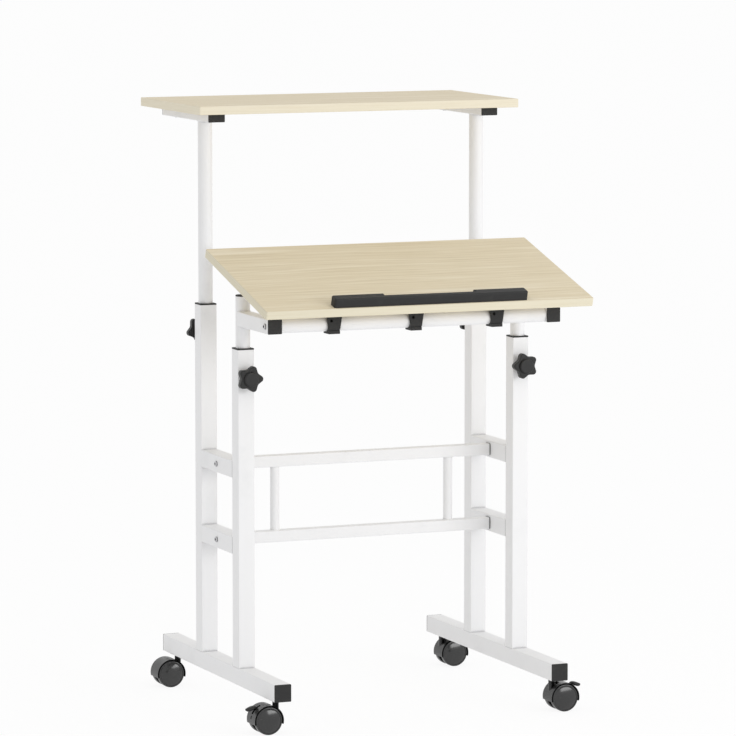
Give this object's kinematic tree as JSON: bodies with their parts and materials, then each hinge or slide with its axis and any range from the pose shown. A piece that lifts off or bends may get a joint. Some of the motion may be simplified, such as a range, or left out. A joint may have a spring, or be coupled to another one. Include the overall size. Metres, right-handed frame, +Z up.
{
  "type": "sit-stand desk",
  "caption": "Mobile sit-stand desk: tubular steel base on casters, tilting desktop and upper shelf that each slide in clamped posts.",
  "frame": {"origin": "on the floor, midway between the four caster stems", "axes": "+Z up, +X to the right of a user who stands in front, who faces +Y"},
  "size_m": [0.6248, 0.6117, 1.048],
  "materials": {
    "white_powder_coat": "satin powder coat on steel tube",
    "pale_maple": "pale wood-grain laminate on particle board",
    "black_plastic": "fine-grained black moulding",
    "caster_wheel": "smooth black nylon",
    "black_steel": "black oxide on steel",
    "zinc_steel": "bright zinc"
  },
  "bodies": {
    "base": {"left_foot_tube": "white_powder_coat", "right_foot_tube": "white_powder_coat", "foot_end_caps": "black_plastic", "left_front_post": "white_powder_coat", "left_rear_post": "white_powder_coat", "right_front_post": "white_powder_coat", "right_rear_post": "white_powder_coat", "side_rails": "white_powder_coat", "cross_rails": "white_powder_coat", "cross_rail_spindles": "white_powder_coat", "cross_rail_plugs": "black_plastic", "cross_rail_screws": "zinc_steel", "post_bushings": "black_plastic", "weld_nuts": "zinc_steel", "caster_stems": "zinc_steel"},
    "desk_carriage": {"left_desk_tube": "white_powder_coat", "right_desk_tube": "white_powder_coat", "left_desk_arm": "white_powder_coat", "right_desk_arm": "white_powder_coat", "tilt_tube": "white_powder_coat", "desk_tube_caps": "black_plastic", "desk_arm_end_caps": "black_plastic", "desk_tube_glides": "black_plastic", "tilt_tube_plugs": "black_plastic", "tilt_tube_screws": "zinc_steel"},
    "desktop": {"desktop_board": "pale_maple", "tilt_clips": "black_plastic", "tilt_grub_screws": "black_steel", "laptop_stop_bar": "black_plastic", "desktop_screws": "zinc_steel"},
    "shelf_carriage": {"shelf_board": "pale_maple", "left_shelf_tube": "white_powder_coat", "right_shelf_tube": "white_powder_coat", "left_shelf_bearer": "white_powder_coat", "right_shelf_bearer": "white_powder_coat", "bearer_end_caps": "black_plastic", "shelf_tube_glides": "black_plastic", "shelf_screws": "zinc_steel"},
    "front_left_knob_body": {"front_left_knob": "black_plastic"},
    "front_right_knob_body": {"front_right_knob": "black_plastic"},
    "rear_left_knob_body": {"rear_left_knob": "black_plastic"},
    "rear_right_knob_body": {"rear_right_knob": "black_plastic"},
    "front_left_caster": {"front_left_caster_hood": "black_plastic", "front_left_caster_axle": "zinc_steel"},
    "front_left_caster_fore_wheel_body": {"front_left_caster_fore_wheel": "caster_wheel"},
    "front_left_caster_aft_wheel_body": {"front_left_caster_aft_wheel": "caster_wheel"},
    "front_left_caster_brake_lever_body": {"front_left_caster_brake_lever": "black_plastic"},
    "front_right_caster": {"front_right_caster_hood": "black_plastic", "front_right_caster_axle": "zinc_steel"},
    "front_right_caster_fore_wheel_body": {"front_right_caster_fore_wheel": "caster_wheel"},
    "front_right_caster_aft_wheel_body": {"front_right_caster_aft_wheel": "caster_wheel"},
    "front_right_caster_brake_lever_body": {"front_right_caster_brake_lever": "black_plastic"},
    "rear_left_caster": {"rear_left_caster_hood": "black_plastic", "rear_left_caster_axle": "zinc_steel"},
    "rear_left_caster_fore_wheel_body": {"rear_left_caster_fore_wheel": "caster_wheel"},
    "rear_left_caster_aft_wheel_body": {"rear_left_caster_aft_wheel": "caster_wheel"},
    "rear_right_caster": {"rear_right_caster_hood": "black_plastic", "rear_right_caster_axle": "zinc_steel"},
    "rear_right_caster_fore_wheel_body": {"rear_right_caster_fore_wheel": "caster_wheel"},
    "rear_right_caster_aft_wheel_body": {"rear_right_caster_aft_wheel": "caster_wheel"}
  },
  "joints": [
    {"name": "desktop_lift", "type": "slide", "parent": "base", "child": "desk_carriage", "axis": [0, 0, 1], "range_m": [-0.037, 0.3]},
    {"name": "desktop_tilt", "type": "hinge", "parent": "desk_carriage", "child": "desktop", "pos_m": [0, -0.226, 0.6907], "axis": [1, 0, 0], "range_deg": [-15.75, 44.25]},
    {"name": "shelf_lift", "type": "slide", "parent": "base", "child": "shelf_carriage", "axis": [0, 0, 1], "range_m": [-0.316, 0.1]},
    {"name": "front_left_knob_turn", "type": "hinge", "parent": "base", "child": "front_left_knob_body", "pos_m": [-0.257, -0.105, 0.59], "axis": [0, -1, 0], "range_deg": [0, 540]},
    {"name": "front_right_knob_turn", "type": "hinge", "parent": "base", "child": "front_right_knob_body", "pos_m": [0.257, -0.105, 0.59], "axis": [0, -1, 0], "range_deg": [0, 540]},
    {"name": "rear_left_knob_turn", "type": "hinge", "parent": "base", "child": "rear_left_knob_body", "pos_m": [-0.257, 0.105, 0.65], "axis": [0, 1, 0], "range_deg": [0, 540]},
    {"name": "rear_right_knob_turn", "type": "hinge", "parent": "base", "child": "rear_right_knob_body", "pos_m": [0.257, 0.105, 0.65], "axis": [0, 1, 0], "range_deg": [0, 540]},
    {"name": "front_left_caster_swivel", "type": "hinge", "parent": "base", "child": "front_left_caster", "pos_m": [-0.257, -0.2385, 0.045], "axis": [0, 0, 1], "continuous": true},
    {"name": "front_left_caster_fore_wheel_spin", "type": "hinge", "parent": "front_left_caster", "child": "front_left_caster_fore_wheel_body", "pos_m": [-0.2755, -0.2385, 0.024], "axis": [0, 1, 0], "continuous": true},
    {"name": "front_left_caster_aft_wheel_spin", "type": "hinge", "parent": "front_left_caster", "child": "front_left_caster_aft_wheel_body", "pos_m": [-0.2755, -0.2385, 0.024], "axis": [0, 1, 0], "continuous": true},
    {"name": "front_left_caster_brake_lever_press", "type": "hinge", "parent": "front_left_caster", "child": "front_left_caster_brake_lever_body", "pos_m": [-0.28836, -0.2385, 0.03879], "axis": [0, -1, 0], "range_deg": [0, 12]},
    {"name": "front_right_caster_swivel", "type": "hinge", "parent": "base", "child": "front_right_caster", "pos_m": [0.257, -0.2385, 0.045], "axis": [0, 0, 1], "continuous": true},
    {"name": "front_right_caster_fore_wheel_spin", "type": "hinge", "parent": "front_right_caster", "child": "front_right_caster_fore_wheel_body", "pos_m": [0.2755, -0.2385, 0.024], "axis": [0, 1, 0], "continuous": true},
    {"name": "front_right_caster_aft_wheel_spin", "type": "hinge", "parent": "front_right_caster", "child": "front_right_caster_aft_wheel_body", "pos_m": [0.2755, -0.2385, 0.024], "axis": [0, 1, 0], "continuous": true},
    {"name": "front_right_caster_brake_lever_press", "type": "hinge", "parent": "front_right_caster", "child": "front_right_caster_brake_lever_body", "pos_m": [0.28836, -0.2385, 0.03879], "axis": [0, 1, 0], "range_deg": [0, 12]},
    {"name": "rear_left_caster_swivel", "type": "hinge", "parent": "base", "child": "rear_left_caster", "pos_m": [-0.257, 0.2385, 0.045], "axis": [0, 0, 1], "continuous": true},
    {"name": "rear_left_caster_fore_wheel_spin", "type": "hinge", "parent": "rear_left_caster", "child": "rear_left_caster_fore_wheel_body", "pos_m": [-0.2755, 0.2385, 0.024], "axis": [0, 1, 0], "continuous": true},
    {"name": "rear_left_caster_aft_wheel_spin", "type": "hinge", "parent": "rear_left_caster", "child": "rear_left_caster_aft_wheel_body", "pos_m": [-0.2755, 0.2385, 0.024], "axis": [0, 1, 0], "continuous": true},
    {"name": "rear_right_caster_swivel", "type": "hinge", "parent": "base", "child": "rear_right_caster", "pos_m": [0.257, 0.2385, 0.045], "axis": [0, 0, 1], "continuous": true},
    {"name": "rear_right_caster_fore_wheel_spin", "type": "hinge", "parent": "rear_right_caster", "child": "rear_right_caster_fore_wheel_body", "pos_m": [0.2755, 0.2385, 0.024], "axis": [0, 1, 0], "continuous": true},
    {"name": "rear_right_caster_aft_wheel_spin", "type": "hinge", "parent": "rear_right_caster", "child": "rear_right_caster_aft_wheel_body", "pos_m": [0.2755, 0.2385, 0.024], "axis": [0, 1, 0], "continuous": true}
  ]
}
